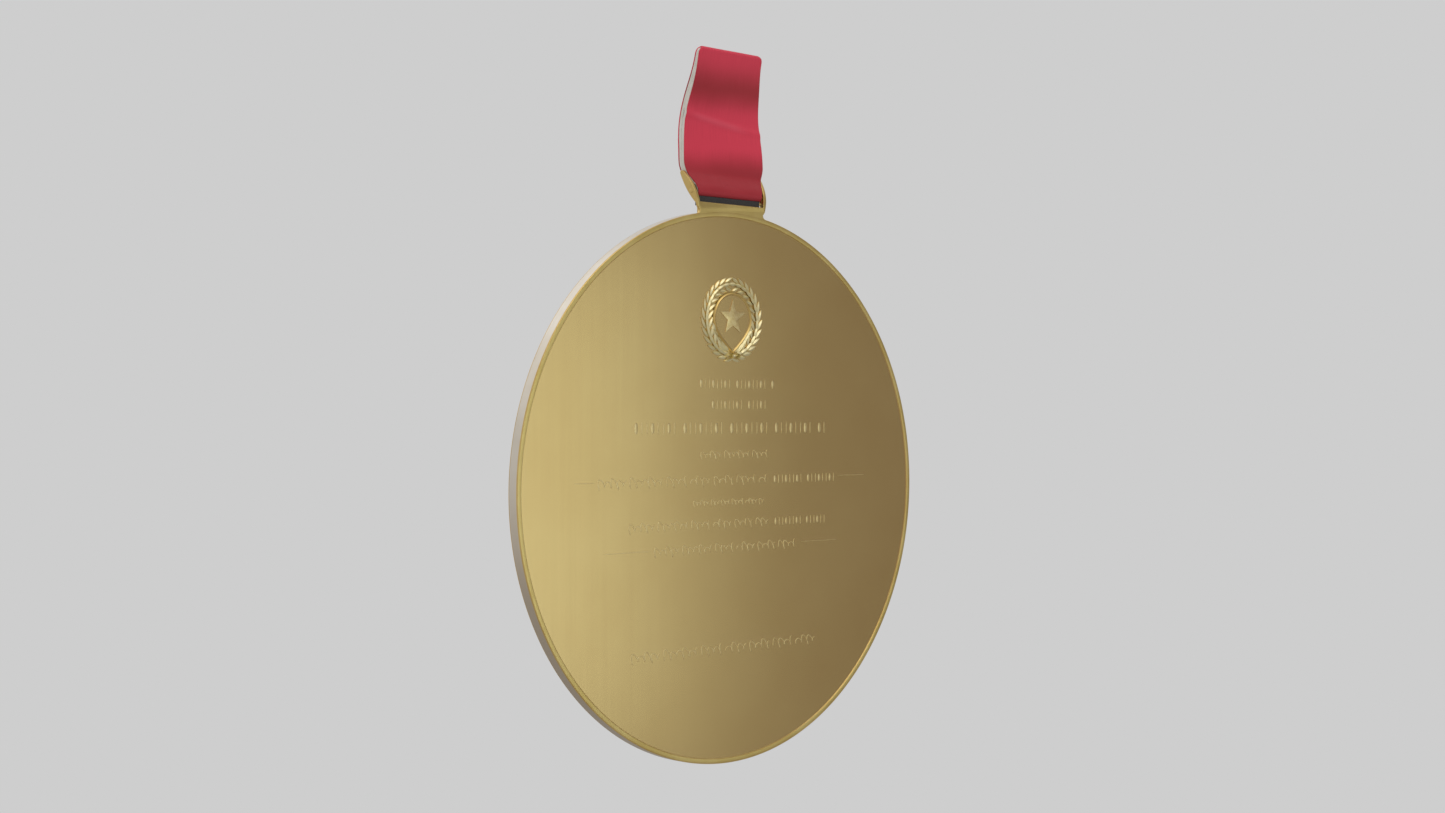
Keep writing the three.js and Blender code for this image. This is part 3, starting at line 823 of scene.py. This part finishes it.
def tie():
    """The bow that ties the stems: two loops, two tails and a knot."""
    centre = BADGE_Z - 5.3 * MM
    count = 17
    parts = []
    for side in (-1, 1):
        loop = []
        for k in range(count):
            a = TAU * (k + 0.5) / count
            reach = 0.75 * MM * (1 - math.cos(a)) / 2 * 1.7
            loop.append((side * reach, 0.42 * MM * math.sin(a) * (0.55 + 0.45 * math.sin(a / 2))))
        parts.append(on_field(ridge(loop, 0.26 * MM, 0.62 * MM), 0, centre, 0))
        tail = [(side * (0.03 + 0.15 * k) * MM, (-0.13 * k + 0.02 * k * k) * MM) for k in range(6)]
        parts.append(on_field(ridge(tail, 0.24 * MM, 0.5 * MM), 0, centre, 0))
    parts.append(on_field(bead(0.34 * MM, 0.78 * MM, 14), 0, centre, 0))
    piece("laurel_bow", *merged(parts), RELIEF, "medal", "gold_relief", ("laurel_tie",), sharp=50)


SHIELD_R = 3.75 * MM
SHIELD_POINT = 4.75 * MM


def shield_outline(shrink=0.0):
    """Half circle above, two nearly straight sides that meet in a point below; anticlockwise."""
    radius, point = SHIELD_R - shrink, SHIELD_POINT - 1.35 * shrink
    crown = arc(0, 0, radius, 0, 180, 36)
    left = bent((-radius, 0), (-0.97 * radius, -0.42 * point), (0, -point), 18)[1:]
    right = [(-u, v) for u, v in reversed(left[:-1])]
    return crown + left + right


def shield():
    """The badge's field: a shallow plate in the face's own finish, with a raised border round it."""
    base = 0.20 * MM
    plain = on_field(rounded_slab(shield_outline(), -0.05 * MM, base, 0.05 * MM, 2), 0, BADGE_Z, 0)
    piece("shield_field", *plain, GOLD, "medal", "gold_brushed", ("badge_shield",), sharp=50)
    edge = shield_outline(0.02 * MM)
    border = on_field(ridge(edge + edge[:2], 0.46 * MM, 0.26 * MM), 0, BADGE_Z, 0, base * 0.6)
    piece("shield_border", *border, RIM, "medal", "gold_relief", sharp=50)


STAR_R = 2.625 * MM


def star():
    """A five-pointed star with a ridge down each arm."""
    base, peak = 0.2 * MM, 0.40 * MM
    corners = 10
    outline = []
    for i in range(corners):
        radius = STAR_R * (0.42 if i % 2 else 1.0)
        angle = math.pi / 2 + i * math.pi / 5
        outline.append((radius * math.cos(angle), radius * math.sin(angle)))
    verts = [(u, v, base + 0.06 * MM) for u, v in outline]
    verts += [(u, v, base - 0.05 * MM) for u, v in outline]
    verts.append((0, 0, peak))
    faces = []
    for i in range(corners):
        faces.append((2 * corners, i, (i + 1) % corners))
    for i in range(corners):
        j = (i + 1) % corners
        faces.append((i, corners + i, corners + j, j))
    faces.append(tuple(reversed(range(corners, 2 * corners))))
    part = on_field((verts, faces), 0, BADGE_Z + 0.25 * MM, 0)
    piece("star_emblem", *part, ENGRAVED, "medal", "gold_relief", ("badge_star",), sharp=20)


# ---------- Ornament rows on the face ----------

# Height above the disc's centre, left end, right end and stroke height in millimetres, and style.
ROWS = (
    (15.0, -6.6, 9.0, 1.35, "beads"),
    (12.0, -4.2, 7.4, 1.35, "beads"),
    (8.6, -19.3, 20.4, 1.7, "beads"),
    (4.7, -6.4, 8.0, 1.3, "scroll"),
    (1.0, -26.0, 22.4, 1.6, "mixed"),
    (-2.2, -7.8, 7.0, 1.0, "scroll"),
    (-5.3, -20.3, 20.3, 1.5, "mixed"),
    (-8.8, -15.5, 14.0, 1.5, "scroll"),
    (-23.4, -19.9, 18.3, 1.7, "scroll"),
)
HAIRLINES = ((1.2, -30.0, -26.6), (1.2, 23.0, 29.0), (-8.6, -24.6, -16.2), (-8.6, 14.8, 22.6))
STROKE = 0.16 * MM
STROKE_RISE = 0.03 * MM


def scrolls(left, right, tall):
    """Runs of a leaning scroll, each run one line of loops that shrink and grow."""
    pitch = 0.72 * tall
    count = max(3, round((right - left) / pitch))
    pitch = (right - left) / count
    per_loop = 12
    runs, start = [], 0
    while start < count:
        loops = min(count - start, 4 + (start * 5 + 1) % 4)
        points = []
        for k in range((loops - 1) * per_loop + per_loop // 2 + 1):
            turn = TAU * k / per_loop
            size = 0.66 + 0.34 * math.cos(turn * 0.37 + start)
            u = left + (start + 0.15) * pitch + pitch * turn / TAU
            points.append((
                u + (0.30 * size - 0.10) * tall * math.cos(turn) - 0.16 * tall * math.sin(turn),
                -0.5 * tall * size * math.cos(turn),
            ))
        runs.append(points)
        start += loops
    return [ridge(points, STROKE, STROKE_RISE) for points in runs]


def beads_and_reels(left, right, tall):
    """A bead-and-reel moulding: low oval beads parted by pairs of thin upright bars."""
    pitch = 0.62 * tall
    count = max(3, round((right - left) / pitch))
    pitch = (right - left) / count
    parts = []
    for k in range(count):
        if k % 9 == 8:
            continue
        u = left + (k + 0.5) * pitch
        if k % 3 == 0:
            verts, faces = bead(0.5, STROKE_RISE * 1.3, 14)
            parts.append(([(u + 0.62 * pitch * x, 0.92 * tall * y, d) for x, y, d in verts], faces))
        else:
            bar_line = [(u, -0.5 * tall + tall * i / 4) for i in range(5)]
            parts.append(ridge(bar_line, STROKE, STROKE_RISE))
    return parts


def ornament_rows():
    """The rows of engraved ornament, as low ridges that catch the light."""
    parts = []
    for height, left, right, tall, style in ROWS:
        left, right, tall = left * MM, right * MM, tall * MM
        part_way = left + 0.7 * (right - left)
        if style == "scroll":
            made = scrolls(left, right, tall)
        elif style == "beads":
            made = beads_and_reels(left, right, tall)
        else:
            made = scrolls(left, part_way, tall)
            made += beads_and_reels(part_way + 0.5 * tall, right, 0.8 * tall)
        parts += [on_field(one, 0, from_disc(height), 0) for one in made]
    for height, left, right in HAIRLINES:
        line = [((left + (right - left) * k / 10) * MM, 0) for k in range(11)]
        parts.append(on_field(ridge(line, 0.08 * MM, 0.02 * MM), 0, from_disc(height), 0))
    piece("ornament_rows", *merged(parts), ENGRAVED, "medal", "gold_relief", sharp=60)


# ---------- Ribbon ----------

SATIN_T = 0.1875 * MM
LINING_T = 0.125 * MM
TOP_HALF = 0.4375 * MM
FOLD_HALF = 6.4 * MM
SPREAD = 2.85 * MM  # height over which the loop's plies come together above the bar
BODY_HALF = 0.72 * MM
LAP_LOW, LAP_HIGH = 46.75, 50.75  # the sewn lap, in millimetres above the disc's centre
SEAM_ROWS = ((1, 47.5), (2, 50.0))


def ramp(value, start, stop):
    """0 before start, 1 after stop, and a soft step between."""
    t = min(1.0, max(0.0, (value - start) / (stop - start)))
    return t * t * (3 - 2 * t)


def loop_middle(z):
    """Y of the loop's middle line: back from the bar, a bow, and forward at the top."""
    bow = 1.65 * MM - 14.5 * (z - BOW_Z) ** 2
    wave = 0.16 * MM * math.sin(TAU * (z - from_disc(51.5)) / (11 * MM)) * ramp(z, BAR_Z, from_disc(47))
    return (bow + wave) * ramp(z, BAR_Z, BAR_Z + SPREAD)


def loop_half(z):
    """Half the loop's thickness: the fold's radius at the bar, almost closed at the top."""
    body = FOLD_R + (BODY_HALF - FOLD_R) * ramp(z, BAR_Z, BAR_Z + SPREAD)
    return body + (TOP_HALF - BODY_HALF) * ramp(z, from_disc(56), LOOP_TOP - TOP_HALF)


def half_width(z):
    """Half the ribbon's width: nipped at the bar, narrower above, round at the top corners."""
    nip = (RIBBON_HALF - FOLD_HALF) * (1 - ramp(z, BAR_Z - FOLD_R, BAR_Z + 4.5 * MM))
    corner = max(0.0, z - (LOOP_TOP - 1.1 * MM)) / (1.1 * MM)
    taper = 0.45 * MM * ramp(z, from_disc(50), from_disc(62))
    return RIBBON_HALF - nip - taper - 0.8 * MM * corner ** 2.4


def twist(z):
    """The ribbon's turn about the vertical, in radians: back on the left below, forward above."""
    low = -4.0 * ramp(z, BAR_Z + 0.5 * MM, from_disc(47))
    return math.radians(low + 9.5 * ramp(z, from_disc(46.5), from_disc(62)))


def loop_path():
    """The closed loop's outer line as (y, z, normal y, normal z, distance along), and its length."""
    top = LOOP_TOP - TOP_HALF
    steps, turn_steps = 116, 16
    heights = [BAR_Z + (top - BAR_Z) * k / steps for k in range(steps + 1)]
    line = [(loop_middle(z) - loop_half(z), z) for z in heights]
    line += arc(loop_middle(top), top, TOP_HALF, 180, 0, turn_steps)[1:-1]
    line += [(loop_middle(z) + loop_half(z), z) for z in reversed(heights)]
    line += arc(0.0, BAR_Z, FOLD_R, 0, -180, turn_steps)[1:-1]
    out, travelled = [], 0.0
    for k, (y, z) in enumerate(line):
        (ay, az), (by, bz) = line[k - 1], line[(k + 1) % len(line)]
        run = Vector((by - ay, bz - az)).normalized()
        out.append((y, z, -run.y, run.x, travelled))
        travelled += math.hypot(by - y, bz - z)
    return out, travelled


def wrinkle(x, z, front):
    """Small unevenness of the cloth, as a shift along Y."""
    gather = 0.07 * MM * math.sin(x / (1.15 * MM) + 0.7) * (1 - ramp(z, BAR_Z + 0.4 * MM, BAR_Z + 4 * MM))
    gather *= ramp(z, BAR_Z - 0.2 * MM, BAR_Z + 0.9 * MM)
    crease_z = CREASE_Z - CREASE_FALL * x
    crease = -0.13 * MM * math.exp(-((z - crease_z) / (0.55 * MM)) ** 2) if front else 0.0
    place = Vector((x, z, 1.0 if front else 5.0)) / (5.5 * MM)
    return gather + crease + 0.10 * MM * noise.noise(place) * ramp(z, BAR_Z + MM, BAR_Z + 5 * MM)


def on_ribbon(x, y, z):
    """A point of the untwisted loop, turned with the ribbon's twist at its height."""
    turn, middle = twist(z), loop_middle(z)
    dy = y - middle
    rolled = 0.02 * x * ramp(z, from_disc(50), LOOP_TOP)
    raised = 0.25 * MM * ramp(z, from_disc(55), LOOP_TOP)
    across = x * math.cos(turn) - dy * math.sin(turn)
    return across, middle + dy * math.cos(turn) + x * math.sin(turn), z + rolled + raised


def edge_pad(across, z):
    """How much thicker the lining is near the ribbon's edges, where it is turned in and fills the gap."""
    spare = loop_half(z) - SATIN_T - LINING_T - 0.02 * MM
    return spare * ramp(abs(across), 0.84, 0.95) * ramp(z, BAR_Z + 0.9 * MM, BAR_Z + 1.8 * MM)


def strip(path, outer, inner, padded):
    """A closed band of cloth between two depths below the loop's outer line, with round selvedges."""
    columns = 44
    thick = inner - outer
    section = [(-1 + 2 * k / columns, 0.0, 0.0) for k in range(columns + 1)]
    section += [(1, 0.35, 0.25), (1, 0.45, 0.5), (1, 0.35, 0.75)]
    section += [(1 - 2 * k / columns, 0.0, 1.0) for k in range(columns + 1)]
    section += [(-1, 0.35, 0.75), (-1, 0.45, 0.5), (-1, 0.35, 0.25)]
    verts, uvs = [], []
    for y, z, ny, nz, along in path:
        front = ny < 0
        width = half_width(z)
        swell = FOLD_SWELL * max(0.0, -nz)
        for across, bulge, depth in section:
            x = across * width + math.copysign(bulge * thick, across)
            d = outer + depth * (thick + (edge_pad(across, z) if padded else 0.0))
            d -= swell * (1 - depth if not padded else 0.0)
            verts.append(on_ribbon(x, y - ny * d + wrinkle(x, z, front), z - nz * d))
            uvs.append((x, along))
    faces = rings_to_faces(len(section), len(path), closed=True)
    return verts, faces, uvs


def lapped_end(path):
    """The ribbon's sewn end, laid over the back ply."""
    inside = [p for p in path if p[2] > 0.5 and from_disc(LAP_LOW) <= p[1] <= from_disc(LAP_HIGH)]
    columns = 24
    verts, uvs = [], []
    count = len(inside)
    for k, (y, z, ny, nz, along) in enumerate(inside):
        edge = min(k, count - 1 - k)
        rise = SATIN_T * min(1.0, 0.45 + 0.3 * edge) * 1.05
        ring = [(-1 + 2 * i / columns, rise) for i in range(columns + 1)]
        ring += [(1 - 2 * i / columns, -0.04 * MM) for i in range(columns + 1)]
        for across, lift in ring:
            x = across * half_width(z) * 0.985
            verts.append(on_ribbon(x, y + ny * lift + wrinkle(x, z, False), z + nz * lift))
            uvs.append((x, along))
    n = 2 * (columns + 1)
    faces = rings_to_faces(n, count)
    faces += [tuple(range(n)), tuple(reversed(range((count - 1) * n, count * n)))]
    return verts, faces, uvs


def ribbon():
    path, length = loop_path()
    verts, faces, uvs = strip(path, 0.0, SATIN_T, False)
    more, more_faces, more_uvs = lapped_end(path)
    start = len(verts)
    faces = faces + [tuple(start + i for i in f) for f in more_faces]
    uvs = uvs + more_uvs
    stands_for = ("ribbon_satin",)
    satin = piece("satin_loop", verts + more, faces, SATIN, "ribbon", "red_satin", stands_for, 50, uvs)
    verts, faces, uvs = strip(path, SATIN_T, SATIN_T + LINING_T, True)
    stands_for = ("ribbon_lining",)
    lining = piece("lining_loop", verts, faces, COTTON, "ribbon", "cream_lining", stands_for, 50, uvs)
    for row, height in SEAM_ROWS:
        stitches(row, from_disc(height))


def stitches(row, z):
    """A row of lockstitch across the lapped end: short bars of thread that dip at each end."""
    step, length, radius = 1.45 * MM, 1.12 * MM, 0.12 * MM
    surface = loop_middle(z) + loop_half(z) + SATIN_T
    parts = []
    count, stations, around = 9, 9, 8
    for k in range(count):
        x0 = (k - (count - 1) / 2) * step
        verts = []
        for i in range(stations):
            t = i / (stations - 1)
            dip = 0.16 * MM * (abs(2 * t - 1) ** 4)
            for j in range(around):
                a = TAU * j / around
                x = x0 + (t - 0.5) * length
                out = radius * (0.8 - dip / (0.3 * MM)) * math.cos(a) + 0.06 * MM - dip
                up = radius * (0.9 - dip / (0.4 * MM)) * math.sin(a)
                bx, by, bz = on_ribbon(x, surface + wrinkle(x, z, False) + out, z)
                verts.append((bx, by, bz + up))
        last = around * (stations - 1)
        faces = rings_to_faces(around, stations)
        faces += [tuple(range(around)), tuple(reversed(range(last, last + around)))]
        parts.append((verts, faces))
    stands_for = (f"seam_thread_{row}",)
    piece(f"seam_stitches_{row}", *merged(parts), THREAD, "ribbon", "red_thread", stands_for, 60)


# ---------- Stage, light and camera ----------

BACKDROP = 0.617  # linear grey of the plain background
DARK_SIDE = 0.31  # and of the surround at the front right
FLOOR_DROP = 0.45
FLOOR_R = 30
FLOOR_SIDES = 64


def surround(tree, direction):
    """The grey of the studio in a direction: even and pale, darker only at the front right."""
    facing = tree.nodes.new("ShaderNodeVectorMath")
    facing.operation = "DOT_PRODUCT"
    facing.inputs[1].default_value = Vector((0.7, -0.7, -0.03)).normalized()
    tree.links.new(direction, facing.inputs[0])
    shade = tree.nodes.new("ShaderNodeMapRange")
    shade.interpolation_type = "SMOOTHSTEP"
    ends = {"From Min": 0.62, "From Max": 0.92, "To Min": BACKDROP, "To Max": DARK_SIDE}
    for name, number in ends.items():
        shade.inputs[name].default_value = number
    tree.links.new(facing.outputs["Value"], shade.inputs["Value"])
    return shade.outputs["Result"]


def stage():
    """A pale floor well below the hanging medal, melting into the surround further out."""
    n = Nodes("pale_floor")
    tree = n.tree
    floor_z = CAD_LOW.z - FLOOR_DROP
    outwards = tree.nodes.new("ShaderNodeVectorMath")
    outwards.inputs[1].default_value = (0, 0, floor_z - DISC_Z)
    n.link(n.place, outwards.inputs[0])
    heading = tree.nodes.new("ShaderNodeVectorMath")
    heading.operation = "NORMALIZE"
    n.link(outwards.outputs["Vector"], heading.inputs[0])
    glow = tree.nodes.new("ShaderNodeEmission")
    n.link(surround(tree, heading.outputs["Vector"]), glow.inputs["Color"])
    mix = tree.nodes.new("ShaderNodeMixShader")
    length = tree.nodes.new("ShaderNodeVectorMath")
    length.operation = "LENGTH"
    n.link(n.place, length.inputs[0])
    n.link(n.span(length.outputs["Value"], 0.5, 1.6, 0, 1), mix.inputs["Fac"])
    n.link(n.shader.outputs["BSDF"], mix.inputs[1])
    n.link(glow.outputs["Emission"], mix.inputs[2])
    n.link(mix.outputs["Shader"], tree.nodes["Material Output"].inputs["Surface"])
    n.set(Base_Color=(0.56, 0.55, 0.54, 1), Roughness=0.8)
    mesh = bpy.data.meshes.new("floor")
    angles = [TAU * k / FLOOR_SIDES for k in range(FLOOR_SIDES)]
    rim = [(FLOOR_R * math.cos(a), FLOOR_R * math.sin(a), 0) for a in angles]
    mesh.from_pydata(rim, [], [tuple(range(FLOOR_SIDES))])
    mesh.materials.append(n.material)
    floor = bpy.data.objects.new("floor", mesh)
    floor.location.z = floor_z
    bpy.context.scene.collection.objects.link(floor)
    bpy.context.scene.view_settings.view_transform = "Standard"


def studio_walls():
    """The surround as the world's own light."""
    world = bpy.data.worlds.new("studio")
    world.use_nodes = True
    tree = world.node_tree
    direction = tree.nodes.new("ShaderNodeTexCoord").outputs["Generated"]
    tree.links.new(surround(tree, direction), tree.nodes["Background"].inputs["Color"])
    bpy.context.scene.world = world


def softbox(name, place, size, power, colour=(1, 1, 1)):
    """A rectangular softbox aimed at the medal, itself unseen."""
    data = bpy.data.lights.new(name, "AREA")
    data.shape = "RECTANGLE"
    data.size, data.size_y = size
    data.energy = power
    data.color = colour
    lamp = bpy.data.objects.new(name, data)
    lamp.location = place
    aim = Vector((0, 0, DISC_Z * 0.8)) - Vector(place)
    lamp.rotation_mode = "QUATERNION"
    lamp.rotation_quaternion = aim.to_track_quat("-Z", "Y")
    lamp.visible_camera = False
    bpy.context.scene.collection.objects.link(lamp)


def lights():
    softbox("key", (0.301, -0.576, -0.092), (0.34, 0.27), 0.31, (0.78, 1.0, 1.04))
    softbox("top", (-0.04, -0.42, 0.44), (0.5, 0.5), 0.95)
    softbox("back", (-0.10, 0.60, 0.50), (0.8, 0.8), 0.95)


# The view: angles in degrees, and lengths as shares of the disc's radius.
CAMERA_AZIMUTH, CAMERA_ELEVATION = -44.67, -0.17
CAMERA_DISTANCE = 7.322 * DISC_R
AIM_RISE = 0.2932 * DISC_R
AIM_SHIFT = 0.0156 * DISC_R


def camera():
    """The photograph's view: from the front left, level, and aimed a little above the disc's centre."""
    azimuth, elevation = math.radians(CAMERA_AZIMUTH), math.radians(CAMERA_ELEVATION)
    right = Vector((math.cos(azimuth), math.sin(azimuth), 0))
    aim = Vector((0, 0.2 * MM, DISC_Z + AIM_RISE)) - AIM_SHIFT * right
    back = Vector((
        math.sin(azimuth) * math.cos(elevation),
        -math.cos(azimuth) * math.cos(elevation),
        math.sin(elevation),
    ))
    data = bpy.data.cameras.new("camera")
    data.lens = 50
    data.clip_start, data.clip_end = 0.005, 100
    eye = bpy.data.objects.new("camera", data)
    eye.location = aim + back * CAMERA_DISTANCE
    eye.rotation_mode = "QUATERNION"
    eye.rotation_quaternion = (-back).to_track_quat("-Z", "Y")
    bpy.context.scene.collection.objects.link(eye)
    bpy.context.scene.camera = eye


# ---------- The scene ----------

camera()
plate(-1, "obverse", "obverse_plate")
plate(1, "reverse", "reverse_plate")
core()
bracket()
bar()
liner()
rivets()
for hand in (-1, 1):
    branch(hand)
tie()
shield()
star()
ornament_rows()
ribbon()
for post in ("badge_post_upper", "badge_post_lower"):
    frame["nodes"][post].data.materials.clear()
    frame["nodes"][post].data.materials.append(NICKEL)
stage()
studio_walls()
lights()
